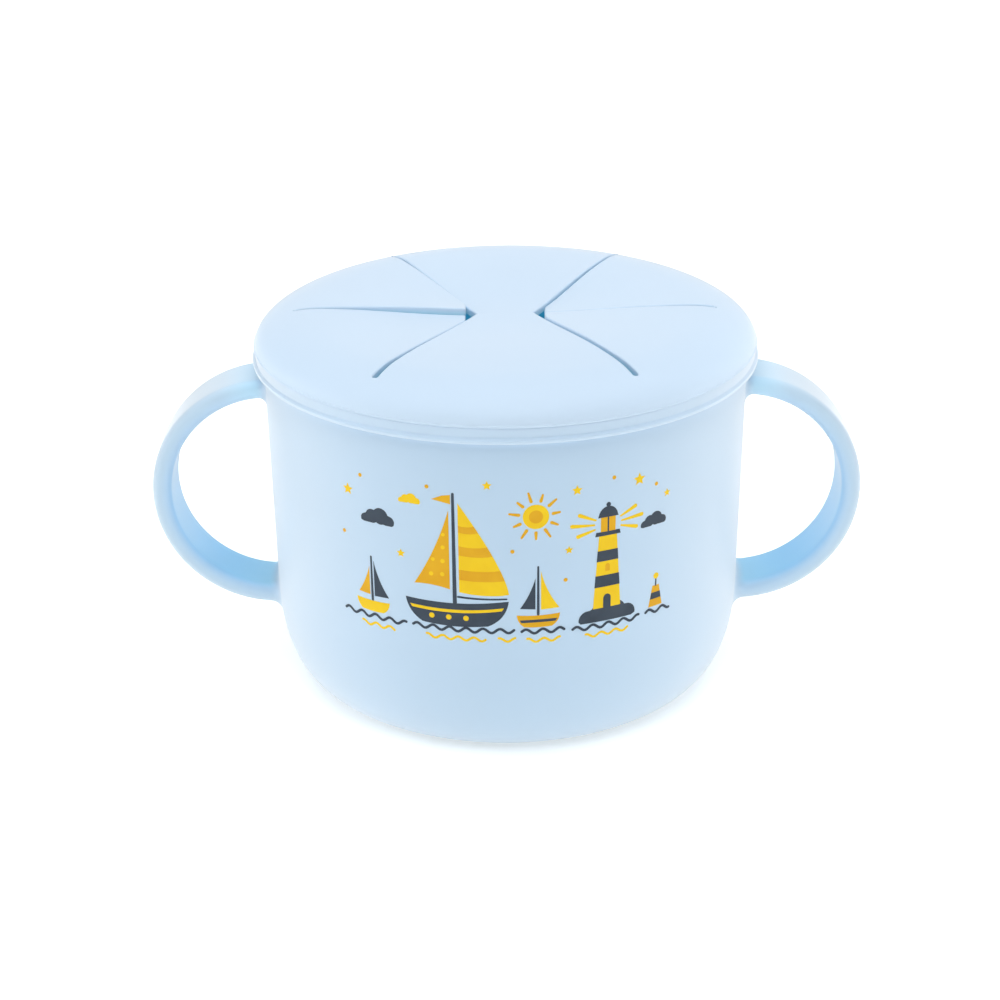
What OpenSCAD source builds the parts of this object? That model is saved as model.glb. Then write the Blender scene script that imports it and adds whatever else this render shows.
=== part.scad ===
// Toddler snack container: a round handled cup with a pull-off lid whose
// soft top is cut into six flaps. Millimetres, +Z up, +X to the right,
// origin on the floor in the middle of the base.

/* [Cup] */
// Height of the wall up to the lid's lower edge
wall_h = 64.8; // [62:0.1:80]
// Outer radius of the wall just under the lid
wall_r = 46; // [45.6:0.1:50]
// How much narrower the wall is where the rounded bottom begins
wall_taper = 0.7; // [0.2:0.1:2]
// Height of the rounded bottom corner
corner_h = 20.6; // [16:0.1:28]
// Outer radius of the flat foot
base_r = 34.4; // [30:0.1:36]
// Squareness of the rounded bottom, where 2 is an ellipse
corner_n = 2.44; // [2:0.02:3.4]
// Thickness of the wall and floor
wall_t = 2.4; // [2:0.1:2.8]
// Depth of the hollow under the foot
foot_hollow = 0.8; // [0.4:0.1:1.2]

/* [Rim] */
// How far the rim steps in under the lid
rim_step = 0.9; // [0.8:0.05:1]
// Height of the rim above the lid's lower edge
rim_h = 4.7; // [4.5:0.1:4.9]
// How far the snap bead stands out from the rim
bead = 0.3; // [0.1:0.05:0.35]

/* [Handles] */
// Radius of the middle line of a handle
handle_r = 21.55; // [19:0.05:22.4]
// Distance of a handle's centre from the cup's axis
handle_x = 45.2; // [44:0.1:47]
// Height of a handle's centre
handle_z = 37.6; // [36:0.1:39]
// Width of the handle ribbon
handle_w = 12.6; // [8:0.1:16]
// Thickness of the handle ribbon
handle_t = 3.7; // [3.5:0.1:4.6]
// Rounding of the ribbon's long edges
handle_edge = 1.6; // [0.8:0.1:1.7]

/* [Lid] */
// How far the lip stands out from the cup wall
lip_out = 2; // [1.6:0.1:2.4]
// Height of the band round the stiff ring
band_h = 2.8; // [2.4:0.1:2.8]
// Height of the soft crown above the lid's lower edge
crown_h = 8.7; // [8.4:0.1:10.5]
// Radius at which the soft top is highest
crown_r = 35.3; // [34:0.1:38]
// How far the middle of the soft top dips
dish = 1.3; // [0.6:0.1:2]
// Squareness of the soft shoulder
shoulder_n = 1.96; // [1.9:0.02:3]
// Thickness of the soft top
soft_t = 1.4; // [1.2:0.1:1.5]

/* [Flaps] */
// Distance of each slit crossing from the middle
cross_x = 6; // [5:0.1:8]
// Distance at which the side flaps end bluntly
blunt_x = 7.8; // [7:0.1:10]
// Reach of the two straight side slits
side_x = 40.2; // [38:0.1:41]
// Sideways reach of the four slanting slits
tip_x = 23.1; // [21:0.1:24]
// Front-to-back reach of the four slanting slits
tip_y = 35.2; // [34:0.1:35.4]
// Width of the side and slanting slits
slit_w = 0.7; // [0.5:0.05:1]
// Width of the seam between the front and back flaps
seam_w = 0.4; // [0.3:0.05:0.8]

/* [Hidden] */
$fn = 96;
steps = 18;                       // straight pieces in each rounded profile

lid_r = wall_r + lip_out;         // outer radius of the lip
rim_r = wall_r - rim_step;        // outer radius of the rim under the lid
bore_r = rim_r + 0.55;            // inside of the stiff ring
snap_r = rim_r + bead + 0.1;      // inside of the ring's own bead
soft_r = lid_r - 0.45;            // outer radius of the soft skirt
seal_r = wall_r - 1.4;            // inner edge of the sealing step
mouth_r = wall_r - wall_t - 0.1;  // inside radius at the rim
waist_r = wall_r - wall_taper;

root_in = 1.1;                    // gap from a flap's hinge line to its plate
web_t = 0.8;                      // thickness of the web between root and plate
pin_r = 0.6;                      // rolled root of a flap
groove_r = 0.9;                   // rounded seat that the root turns in
relief_r = 1;                     // round end of a slit
top_slack = 0.1;                  // lid's lower edge to the cup's step

// ---- curves -------------------------------------------------------------

// height fraction of a rounded corner of squareness n, u and result 0 to 1
function corner(u, n) = pow(max(0, 1 - pow(u, n)), 1 / n);

// outer radius of the cup at height z
function cup_r(z) = z >= corner_h
    ? waist_r + wall_taper * (z - corner_h) / (wall_h - corner_h)
    : base_r + (waist_r - base_r) * corner(1 - z / corner_h, corner_n);

// top surface of the soft lid above the lid's lower edge, at radius r
function soft_z(r) = r <= crown_r
    ? crown_h - dish * pow(cos(90 * max(0, r - 2) / (crown_r - 2)), 2)
    : 3 + (crown_h - 3) * corner((r - crown_r) / (soft_r - crown_r), shoulder_n);

// angles are spread so that the tight end of a corner gets short pieces
function ease(i) = sin(90 * i / steps);

cup_side = [for (i = [0 : steps]) let (z = corner_h * (1 - cos(90 * i / steps))) [cup_r(z), z]];
inner_r = mouth_r - wall_taper;
inner_base = base_r - 2;
cup_inside = [for (i = [steps : -1 : 0])
    let (z = (corner_h - wall_t) * (1 - cos(90 * i / steps)),
         u = 1 - z / (corner_h - wall_t))
    [inner_base + (inner_r - inner_base) * corner(u, corner_n), wall_t + z]];

soft_top = concat(
    [for (r = [2 : (crown_r - 2) / 10 : crown_r + 0.01]) [r, soft_z(min(r, crown_r))]],
    [for (i = [1 : steps]) let (r = crown_r + (soft_r - crown_r) * ease(i)) [r, soft_z(r)]]);
// height of the six hinge lines, midway between the highest and lowest of the plate edges
hinge_h = wall_h + (crown_h + soft_z(norm([tip_x, tip_y]))) / 2 - soft_t / 2 - 0.1;
soft_under = [for (p = soft_top) if (p[0] < seal_r - 0.2) [p[0], p[1] - soft_t]];

// ---- plane geometry -----------------------------------------------------

function unit(v) = v / norm(v);
function turned(v) = [-v[1], v[0]];
function cross2(a, b) = a[0] * b[1] - a[1] * b[0];
// where the line through a along u meets the line through b along v
function meet(a, u, b, v) = a + u * cross2(b - a, v) / cross2(u, v);
// a counter-clockwise outline with side i moved inward by d[i]
function inset(p, d) = [for (i = [0 : len(p) - 1])
    let (n = len(p), j = (i + n - 1) % n,
         u = unit(p[i] - p[j]), v = unit(p[(i + 1) % n] - p[i]))
    meet(p[i] + turned(u) * d[j], u, p[i] + turned(v) * d[i], v)];

// rounded rectangle, w along x and h along y, centred at [cx, 0]
function round_box(cx, w, h, r, k = 5) = [for (c = [0 : 3], i = [0 : k])
    let (a = 90 * c + 90 * i / k,
         sx = (c == 0 || c == 3) ? 1 : -1,
         sy = c < 2 ? 1 : -1)
    [cx + sx * (w / 2 - r) + r * cos(a), sy * (h / 2 - r) + r * sin(a)]];

side_tip = [side_x, 0];
far_tip = [tip_x, tip_y];
slant = (tip_x - cross_x) / tip_y;                 // sideways run of a slanting slit
blunt_y = (blunt_x - cross_x) / slant;

// outline of the opening that the six flaps fill
hexagon = [[side_x, 0], [tip_x, tip_y], [-tip_x, tip_y],
           [-side_x, 0], [-tip_x, -tip_y], [tip_x, -tip_y]];

// ---- parts --------------------------------------------------------------

module cup_outside() {
    rotate_extrude() polygon(concat([[0, 0]], cup_side, [[wall_r, wall_h], [0, wall_h]]));
}

module cup_shell() {
    color("#BFDCF2") rotate_extrude() polygon(concat(
        [[0, foot_hollow], [base_r - 6.5, foot_hollow], [base_r - 5.5, 0]],
        cup_side,
        [[wall_r - 0.05, wall_h - top_slack - 0.3], [wall_r - 0.35, wall_h - top_slack],
         [rim_r, wall_h - top_slack],
         [rim_r, wall_h + 2.3], [rim_r + bead, wall_h + 2.7], [rim_r + bead, wall_h + 3.1],
         [rim_r, wall_h + 3.6],
         [rim_r, wall_h + rim_h - 0.5], [rim_r - 0.5, wall_h + rim_h],
         [mouth_r + 0.5, wall_h + rim_h], [mouth_r, wall_h + rim_h - 0.5]],
        cup_inside,
        [[0, wall_t]]));
}

// a closed ribbon loop trimmed where it runs into the cup wall
module handle() {
    difference() {
        translate([handle_x, 0, handle_z]) rotate([90, 0, 0])
            rotate_extrude() polygon(round_box(handle_r, handle_t, handle_w, handle_edge));
        cup_outside();
    }
}

module handle_left() { color("#B4D8F2") mirror([1, 0, 0]) handle(); }
module handle_right() { color("#B4D8F2") handle(); }

module lid_ring() {
    color("#C4DDF3") translate([0, 0, wall_h]) rotate_extrude() polygon([
        [bore_r, 0], [lid_r - 0.3, 0], [lid_r - 0.08, 0.1], [lid_r, 0.35], [lid_r, 0.7],
        [lid_r - 0.15, 0.95], [lid_r - 0.6, 1.15],
        [lid_r - 0.6, band_h - 0.2], [lid_r - 0.8, band_h],
        [bore_r + 0.55, band_h], [bore_r + 0.55, band_h + 1.8], [bore_r, band_h + 1.8],
        [bore_r, 2], [snap_r, 1.6], [snap_r, 1.2], [bore_r, 0.8]]);
}

// the whole soft top before the flaps are cut free
module soft_blank() {
    translate([0, 0, wall_h]) rotate_extrude() polygon(concat(
        [[0, soft_z(2)]], soft_top,
        [[soft_r, band_h], [bore_r + 0.55, band_h], [bore_r + 0.55, band_h + 1.8],
         [bore_r, band_h + 1.8], [bore_r, rim_h + 0.2], [seal_r, rim_h + 0.2],
         [seal_r, soft_z(seal_r) - soft_t]],
        [for (i = [len(soft_under) - 1 : -1 : 0]) soft_under[i]],
        [[0, soft_z(2) - soft_t]]));
}

// a round bar from a to b, shortened by e at each end
module bar(a, b, r, e) {
    d = b - a;
    translate([a[0], a[1], hinge_h]) rotate([0, 0, atan2(d[1], d[0])])
        rotate([0, 90, 0]) translate([0, 0, e]) cylinder(r = r, h = norm(d) - 2 * e, $fn = 32);
}

module lid_membrane() {
    color("#D3E6F7") difference() {
        soft_blank();
        translate([0, 0, wall_h]) linear_extrude(height = crown_h + 1)
            polygon(inset(hexagon, [for (i = hexagon) -0.3]));
        for (i = [0 : 5]) bar(hexagon[i], hexagon[(i + 1) % 6], groove_r, 0);
        for (p = hexagon) translate([p[0], p[1], wall_h + 2]) cylinder(r = relief_r, h = crown_h);
    }
}

// one flap: outline p runs counter-clockwise and its first side is the root
module flap(p, gaps) {
    intersection() {
        soft_blank();
        translate([0, 0, wall_h + 2]) linear_extrude(height = crown_h)
            polygon(inset(p, concat([root_in], gaps)));
    }
    bar(p[0], p[1], pin_r, 2);
    d = p[1] - p[0];
    translate([p[0][0], p[0][1], hinge_h - web_t / 2]) rotate([0, 0, atan2(d[1], d[0])])
        translate([2, 0, 0]) cube([norm(d) - 4, root_in + 0.5, web_t]);
}

module middle_flap() {
    flap([[-tip_x, -tip_y], [tip_x, -tip_y], [cross_x, 0], [-cross_x, 0]],
         [slit_w / 2, seam_w / 2, slit_w / 2]);
}

module side_flap() {
    flap([[tip_x, -tip_y], [side_x, 0], [blunt_x, 0], [blunt_x, -blunt_y]],
         [slit_w / 2, 0, slit_w / 2]);
}

module flap_front() { color("#D6E8F8") middle_flap(); }
module flap_back() { color("#DCECFA") mirror([0, 1, 0]) middle_flap(); }
module flap_right_front() { color("#D3E6F7") side_flap(); }
module flap_right_back() { color("#D9EAF9") mirror([0, 1, 0]) side_flap(); }
module flap_left_front() { color("#D3E6F7") mirror([1, 0, 0]) side_flap(); }
module flap_left_back() { color("#D9EAF9") mirror([1, 0, 0]) mirror([0, 1, 0]) side_flap(); }

cup_shell();
handle_left();
handle_right();
lid_ring();
lid_membrane();
flap_front();
flap_back();
flap_left_front();
flap_left_back();
flap_right_front();
flap_right_back();
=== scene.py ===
import math

import bmesh
import bpy
import numpy as np
from mathutils import Matrix, Vector
from mathutils.geometry import tessellate_polygon


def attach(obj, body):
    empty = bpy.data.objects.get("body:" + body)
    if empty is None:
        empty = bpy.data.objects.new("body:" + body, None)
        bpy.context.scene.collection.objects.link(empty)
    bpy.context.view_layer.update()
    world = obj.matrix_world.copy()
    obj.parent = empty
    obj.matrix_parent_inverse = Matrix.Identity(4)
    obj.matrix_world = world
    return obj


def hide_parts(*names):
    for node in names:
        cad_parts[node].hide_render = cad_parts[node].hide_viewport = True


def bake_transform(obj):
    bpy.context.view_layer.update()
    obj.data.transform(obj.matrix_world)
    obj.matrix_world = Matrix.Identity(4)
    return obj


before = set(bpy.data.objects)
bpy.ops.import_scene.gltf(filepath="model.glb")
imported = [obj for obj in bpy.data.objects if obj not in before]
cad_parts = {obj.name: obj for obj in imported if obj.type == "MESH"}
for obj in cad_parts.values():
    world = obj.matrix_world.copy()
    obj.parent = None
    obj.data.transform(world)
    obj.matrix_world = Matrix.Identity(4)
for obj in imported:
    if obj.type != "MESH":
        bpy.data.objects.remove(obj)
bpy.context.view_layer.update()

MM = 0.001
scene = bpy.context.scene

# ------------------------------------------------------------------ sizes, mm
WALL_H, WALL_R, WAIST_R = 64.8, 46.0, 45.3
CORNER_H, BASE_R, CORNER_N, WALL_T = 20.6, 34.4, 2.44, 2.4
RIM_R, RIM_H, BEAD, MOUTH_R = 45.1, 4.7, 0.3, 43.5
HR, HX, HZ, HW, HT, HE = 21.54, 45.2, 37.6, 12.6, 3.7, 1.6
LIP_R, BAND_H, BORE_R = 48.0, 2.8, 45.65
CROWN_H, CROWN_R, DISH, SOFT_R, SHOULDER_N, SOFT_T = 8.7, 35.3, 1.3, 47.55, 1.96, 1.4
SEAL_R = WALL_R - 1.4
SIDE_X, TIP_X, TIP_Y = 40.2, 23.1, 35.2
CROSS_X, BLUNT_X = 5.55, 7.5


def corner(u, n):
    return max(0.0, 1 - u ** n) ** (1 / n)


def cup_r(z):
    if z >= CORNER_H:
        return WAIST_R + (WALL_R - WAIST_R) * (z - CORNER_H) / (WALL_H - CORNER_H)
    return BASE_R + (WAIST_R - BASE_R) * corner(1 - max(z, 0) / CORNER_H, CORNER_N)


def soft_z(r):
    if r <= CROWN_R:
        return CROWN_H - DISH * math.cos(math.pi / 2 * max(0.0, r - 2) / (CROWN_R - 2)) ** 2
    u = min(1.0, (r - CROWN_R) / (SOFT_R - CROWN_R))
    return 3 + (CROWN_H - 3) * corner(u, SHOULDER_N)


# ------------------------------------------------------------------ camera
EL, DIST, ROLL, FPX = 0.4157, 432.881, -0.0096, 2.1997742
TX, TZ, YAW = -1.2962, 33.4093, 0.0043


def make_camera():
    fwd = Vector((0, math.cos(EL), -math.sin(EL)))
    right = Vector((1, 0, 0))
    up = right.cross(fwd)
    c, s = math.cos(ROLL), math.sin(ROLL)
    r2, u2 = c * right + s * up, -s * right + c * up
    pos = Vector((TX, 0, TZ)) - DIST * fwd
    rot = Matrix((r2, u2, -fwd)).transposed().to_4x4()
    turn = Matrix.Rotation(YAW, 4, "Z")
    cam = bpy.data.cameras.new("camera")
    cam.sensor_width = 36.0
    cam.lens = 36.0 * FPX
    cam.clip_start = 0.01
    cam.clip_end = 50
    o = bpy.data.objects.new("camera", cam)
    scene.collection.objects.link(o)
    o.matrix_world = turn @ Matrix.Translation(pos * MM) @ rot
    scene.camera = o
    return o


camera = make_camera()

# ------------------------------------------------------------------ stage, light
scene.view_settings.view_transform = "Standard"
scene.view_settings.look = "None"
scene.view_settings.exposure = 0.0
scene.view_settings.gamma = 1.0


def nodes_of(mat):
    mat.use_nodes = True
    nt = mat.node_tree
    nt.nodes.clear()
    return nt


HORIZON, FLOOR_GLOW = 0.75, 0.36


def make_world():
    """A pale band round the horizon, dark above it where the boxes hang."""
    w = bpy.data.worlds.new("studio")
    scene.world = w
    w.use_nodes = True
    nt = w.node_tree
    nt.nodes.clear()
    N, L = nt.nodes.new, nt.links.new
    out = N("ShaderNodeOutputWorld")
    bg = N("ShaderNodeBackground")
    tc = N("ShaderNodeTexCoord")
    sep = N("ShaderNodeSeparateXYZ")
    mr = N("ShaderNodeMapRange")
    mr.interpolation_type = "SMOOTHSTEP"
    for k, v in (("From Min", 0.13), ("From Max", 0.24), ("To Min", HORIZON), ("To Max", 0.02)):
        mr.inputs[k].default_value = v
    bg.inputs["Color"].default_value = (1.0, 1.0, 1.0, 1)
    L(tc.outputs["Generated"], sep.inputs[0])
    L(sep.outputs["Z"], mr.inputs["Value"])
    L(mr.outputs["Result"], bg.inputs["Strength"])
    L(bg.outputs[0], out.inputs[0])


def area(name, loc, target, size, power, color=(1, 1, 1), size_y=None):
    li = bpy.data.lights.new(name, "AREA")
    li.shape = "RECTANGLE" if size_y else "SQUARE"
    li.size = size
    if size_y:
        li.size_y = size_y
    li.energy = power
    li.color = color
    o = bpy.data.objects.new(name, li)
    scene.collection.objects.link(o)
    o.location = loc
    o.rotation_euler = (Vector(target) - Vector(loc)).to_track_quat("-Z", "Y").to_euler()
    return o


def make_stage():
    me = bpy.data.meshes.new("floor")
    bm = bmesh.new()
    bmesh.ops.create_circle(bm, cap_ends=True, segments=96, radius=6.0)
    bm.to_mesh(me)
    bm.free()
    o = bpy.data.objects.new("floor", me)
    scene.collection.objects.link(o)
    o.location = (0, 0, -0.0001)
    mat = bpy.data.materials.new("floor_white")
    nt = nodes_of(mat)
    out = nt.nodes.new("ShaderNodeOutputMaterial")
    b = nt.nodes.new("ShaderNodeBsdfPrincipled")
    b.inputs["Base Color"].default_value = (0.93, 0.93, 0.93, 1)
    b.inputs["Roughness"].default_value = 0.9
    b.inputs["Specular IOR Level"].default_value = 0.1
    # the floor's own glow: warm and low by the object, even with the horizon far out
    tc = nt.nodes.new("ShaderNodeTexCoord")
    far = nt.nodes.new("ShaderNodeVectorMath")
    far.operation = "LENGTH"
    mr = nt.nodes.new("ShaderNodeMapRange")
    mr.interpolation_type = "SMOOTHSTEP"
    for k, v in (("From Min", 0.7), ("From Max", 1.6)):
        mr.inputs[k].default_value = v
    mix = nt.nodes.new("ShaderNodeMix")
    mix.data_type = "RGBA"
    mix.inputs["A"].default_value = (FLOOR_GLOW, 0.95 * FLOOR_GLOW, 0.85 * FLOOR_GLOW, 1)
    mix.inputs["B"].default_value = (0.69, 0.69, 0.69, 1)
    nt.links.new(tc.outputs["Object"], far.inputs[0])
    nt.links.new(far.outputs["Value"], mr.inputs["Value"])
    nt.links.new(mr.outputs["Result"], mix.inputs["Factor"])
    nt.links.new(mix.outputs["Result"], b.inputs["Emission Color"])
    b.inputs["Emission Strength"].default_value = 1.0
    nt.links.new(b.outputs[0], out.inputs[0])
    me.materials.append(mat)


make_world()
make_stage()
AIM = (0, 0, 0.05)
area("top_box", (0.0, 0.25, 1.5), AIM, 1.6, 15.5)
area("front_box", (0.0, -0.85, 1.35), AIM, 1.3, 9.9, color=(0.93, 0.99, 1.02), size_y=0.8)
area("left_box", (-1.2, 0.1, 0.45), AIM, 0.9, 5.0, size_y=0.9)
area("right_box", (1.2, 0.1, 0.45), AIM, 0.9, 2.9, size_y=0.9)
area("right_back_box", (0.95, 0.75, 0.45), AIM, 0.9, 2.9, size_y=0.9)
area("back_box", (0.0, 1.3, 0.55), AIM, 1.4, 2.2, size_y=0.8)

# ------------------------------------------------------------------ materials


def srgb(r, g, b):
    def f(c):
        c /= 255.0
        return c / 12.92 if c <= 0.04045 else ((c + 0.055) / 1.055) ** 2.4
    return (f(r), f(g), f(b), 1.0)


def moulded(name, col_a, col_b, rough, grain, coat=0.0, sheen=0.0, sheen_rough=0.6, spec=0.5, tone_scale=14.0,
            bump=0.05, sss=0.0, inner_painted_shade=None, glow=None, cut=None):
    """A moulded plastic or elastomer: faint tone drift, fine tool texture, uneven gloss.
    deep: painted shade and painted light on a handle's inner face, below its middle and at its foot: a fuller blue that
    stands in for its shade and for light coming through the plastic.
    glow: painted light, an emission that stands in for the light coming through the wall from outside.
    cut: painted shade down in a slit, a fuller tone by the mesh's own "cut" value, with a painted glow that stands in
    for a little light coming through the soft top."""
    m = bpy.data.materials.new(name)
    nt = nodes_of(m)
    N, L = nt.nodes.new, nt.links.new
    out = N("ShaderNodeOutputMaterial")
    b = N("ShaderNodeBsdfPrincipled")
    L(b.outputs[0], out.inputs[0])
    tc = N("ShaderNodeTexCoord")
    drift = N("ShaderNodeTexNoise")
    drift.inputs["Scale"].default_value = tone_scale
    drift.inputs["Detail"].default_value = 3.0
    drift.inputs["Roughness"].default_value = 0.5
    L(tc.outputs["Object"], drift.inputs["Vector"])
    ramp = N("ShaderNodeMapRange")
    ramp.inputs["From Min"].default_value = 0.35
    ramp.inputs["From Max"].default_value = 0.65
    L(drift.outputs["Fac"], ramp.inputs["Value"])
    mix = N("ShaderNodeMix")
    mix.data_type = "RGBA"
    mix.inputs["A"].default_value = col_a
    mix.inputs["B"].default_value = col_b
    L(ramp.outputs["Result"], mix.inputs["Factor"])
    colour = mix.outputs["Result"]
    if inner_painted_shade:
        sep = N("ShaderNodeSeparateXYZ")
        L(tc.outputs["Object"], sep.inputs[0])

        def op(kind, a, c=None):
            m_ = N("ShaderNodeMath")
            m_.operation = kind
            for k, x in enumerate((a, c)):
                if isinstance(x, (int, float)):
                    m_.inputs[k].default_value = x
                elif x is not None:
                    L(x, m_.inputs[k])
            return m_.outputs[0]

        def ease(x, lo, hi, a, c):
            m_ = N("ShaderNodeMapRange")
            m_.interpolation_type = "SMOOTHSTEP"
            for k, y in (("From Min", lo), ("From Max", hi), ("To Min", a), ("To Max", c)):
                m_.inputs[k].default_value = y
            L(x, m_.inputs["Value"])
            return m_.outputs["Result"]

        dx = op("SUBTRACT", op("ABSOLUTE", sep.outputs["X"]), HX * MM)
        dz = op("SUBTRACT", sep.outputs["Z"], HZ * MM)
        rad = op("SQRT", op("ADD", op("MULTIPLY", dx, dx), op("MULTIPLY", dz, dz)))
        inner = ease(rad, (HR - HT / 2 + 0.1) * MM, (HR - HT / 2 + 1.3) * MM, 1.0, 0.0)
        low = ease(dz, -3 * MM, 19 * MM, 1.0, 0.0)
        back = ease(sep.outputs["Y"], (-HW / 2 - 0.2) * MM, (-HW / 2 + 2.2) * MM, 0.0, 1.0)
        # painted shade: the flat sides take on a little of the fuller tone toward the inner edge; the root under the
        # lid takes painted light, a pale blue laid over the lid lip's shadow
        side = ease(op("ABSOLUTE", sep.outputs["Y"]), (HW / 2 - 2.4) * MM, (HW / 2 - 0.6) * MM, 0.0, 0.42)
        rim = ease(rad, (HR - HT / 2) * MM, (HR + HT / 2 - 0.6) * MM, 1.0, 0.0)
        root = op("MULTIPLY", ease(dx, 2 * MM, 10 * MM, 0.85, 0.0), ease(dz, 12 * MM, 18 * MM, 0.0, 1.0))
        # brow: painted shade on the top-lit upper outer edge, dimming its highlight
        brow = op("MULTIPLY", ease(rad, (HR + HT / 2 - 1.0) * MM, (HR + HT / 2 - 0.1) * MM, 0.0, 1.0),
                  op("MULTIPLY", ease(dx, 8 * MM, 17 * MM, 0.0, 1.0), ease(dz, -1 * MM, 8 * MM, 0.0, 1.0)))
        # the fillets at the roots run out into the wall's own tone, and the painted handle tones fade out there
        axis = op("SQRT", op("ADD", op("MULTIPLY", sep.outputs["X"], sep.outputs["X"]),
                             op("MULTIPLY", sep.outputs["Y"], sep.outputs["Y"])))
        walls = []
        for z0, z1 in ((HZ - HR - 2, HZ - HR + 1), (HZ + HR - 6, HZ + HR)):
            wall = N("ShaderNodeMapRange")
            wall.clamp = False
            for k, y in (("From Min", z0), ("From Max", z1), ("To Min", cup_r(z0)), ("To Max", cup_r(z1))):
                wall.inputs[k].default_value = y * MM
            L(sep.outputs["Z"], wall.inputs["Value"])
            walls.append(wall.outputs["Result"])
        off = op("SUBTRACT", axis, op("MINIMUM", walls[0], walls[1]))
        seat = ease(off, 0.15 * MM, 2.0 * MM, 1.0, 0.0)
        # painted shade and light mixed in by position: side times rim, root and brow as above; seat brings back the cup
        # plastic's own tone
        for amount, tint in ((op("MULTIPLY", side, rim), (0.420, 0.680, 0.960, 1.0)), (root, (0.520, 0.800, 0.975, 1.0)),
                             (brow, (0.425, 0.580, 0.735, 1.0)), (seat, (0.476, 0.652, 0.836, 1.0))):
            mix4 = N("ShaderNodeMix")
            mix4.data_type = "RGBA"
            L(amount, mix4.inputs["Factor"])
            L(colour, mix4.inputs["A"])
            mix4.inputs["B"].default_value = tint
            colour = mix4.outputs["Result"]
        # painted shade and painted light on the inner lower face: a fuller blue, bluest at the foot, faded near the
        # wall
        mix2 = N("ShaderNodeMix")
        mix2.data_type = "RGBA"
        edge = ease(sep.outputs["Y"], (HW / 2 - 1.3) * MM, (HW / 2 - 0.2) * MM, 1.0, 0.0)
        spread = op("MULTIPLY", op("MULTIPLY", inner, low), op("MULTIPLY", back, edge))
        L(op("MULTIPLY", spread, ease(off, 0.0, 2.2 * MM, 0.30, 1.0)), mix2.inputs["Factor"])
        L(colour, mix2.inputs["A"])
        foot = N("ShaderNodeMix")
        foot.data_type = "RGBA"
        L(ease(dx, -1 * MM, 13 * MM, 1.0, 0.0), foot.inputs["Factor"])
        foot.inputs["A"].default_value = inner_painted_shade[0]
        foot.inputs["B"].default_value = inner_painted_shade[1]
        L(foot.outputs["Result"], mix2.inputs["B"])
        colour = mix2.outputs["Result"]
    # painted shade and painted light in the slits: the slit walls take the deeper cut colour by the mesh's "cut" value,
    # and a faint emission stands in for light through the soft top
    if cut:
        at = N("ShaderNodeAttribute")
        at.attribute_name = "cut"
        mix3 = N("ShaderNodeMix")
        mix3.data_type = "RGBA"
        L(at.outputs["Fac"], mix3.inputs["Factor"])
        L(colour, mix3.inputs["A"])
        mix3.inputs["B"].default_value = cut
        colour = mix3.outputs["Result"]
        lit = N("ShaderNodeMix")
        lit.data_type = "RGBA"
        L(at.outputs["Fac"], lit.inputs["Factor"])
        lit.inputs["A"].default_value = (0.0, 0.0, 0.0, 1.0)
        lit.inputs["B"].default_value = (0.055, 0.085, 0.075, 1.0)
        L(lit.outputs["Result"], b.inputs["Emission Color"])
        b.inputs["Emission Strength"].default_value = 1.0
    L(colour, b.inputs["Base Color"])
    # uneven gloss
    gl = N("ShaderNodeTexNoise")
    gl.inputs["Scale"].default_value = 55.0
    gl.inputs["Detail"].default_value = 4.0
    L(tc.outputs["Object"], gl.inputs["Vector"])
    gr = N("ShaderNodeMapRange")
    gr.inputs["From Min"].default_value = 0.3
    gr.inputs["From Max"].default_value = 0.7
    gr.inputs["To Min"].default_value = rough - 0.03
    gr.inputs["To Max"].default_value = rough + 0.04
    L(gl.outputs["Fac"], gr.inputs["Value"])
    L(gr.outputs["Result"], b.inputs["Roughness"])
    # tool texture
    fine = N("ShaderNodeTexNoise")
    fine.inputs["Scale"].default_value = grain
    fine.inputs["Detail"].default_value = 2.0
    L(tc.outputs["Object"], fine.inputs["Vector"])
    wav = N("ShaderNodeTexNoise")
    wav.inputs["Scale"].default_value = 120.0
    wav.inputs["Detail"].default_value = 1.0
    L(tc.outputs["Object"], wav.inputs["Vector"])
    add = N("ShaderNodeMath")
    add.operation = "MULTIPLY_ADD"
    add.inputs[1].default_value = 1.5
    L(wav.outputs["Fac"], add.inputs[0])
    L(fine.outputs["Fac"], add.inputs[2])
    bp = N("ShaderNodeBump")
    bp.inputs["Strength"].default_value = bump
    bp.inputs["Distance"].default_value = 0.0002
    L(add.outputs[0], bp.inputs["Height"])
    L(bp.outputs["Normal"], b.inputs["Normal"])
    b.inputs["IOR"].default_value = 1.49
    b.inputs["Specular IOR Level"].default_value = spec
    if coat:
        b.inputs["Coat Weight"].default_value = coat
        b.inputs["Coat Roughness"].default_value = 0.25
    if sheen:
        b.inputs["Sheen Weight"].default_value = sheen
        b.inputs["Sheen Roughness"].default_value = sheen_rough
        b.inputs["Sheen Tint"].default_value = (1, 1, 1, 1)
    # painted light: the surface glows with the given colour
    if glow:
        b.inputs["Emission Color"].default_value = glow
        b.inputs["Emission Strength"].default_value = 1.0
    if sss:
        b.inputs["Subsurface Weight"].default_value = sss
        b.inputs["Subsurface Radius"].default_value = (0.35, 0.75, 1.0)
        b.inputs["Subsurface Scale"].default_value = 0.003
    return m


def tone(c, d=0.02):
    """Two nearby shades of one linear colour."""
    return tuple(x * (1 - d) for x in c) + (1.0,), tuple(x * (1 + d) for x in c) + (1.0,)


CUP = moulded("cup_satin", *tone((0.476, 0.652, 0.836)), 0.42, 2600.0, spec=0.50, sheen=0.9, bump=0.05)
# the cup's inside: a slightly deeper copy of the cup's tone, painted shade, with a painted glow (emission) standing in
# for light through the wall
INSIDE = moulded("cup_inside_satin", *tone((0.440, 0.640, 0.850)), 0.42, 2600.0, spec=0.50, sheen=0.6, bump=0.05,
                 glow=(0.010, 0.088, 0.112, 1.0))
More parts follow.
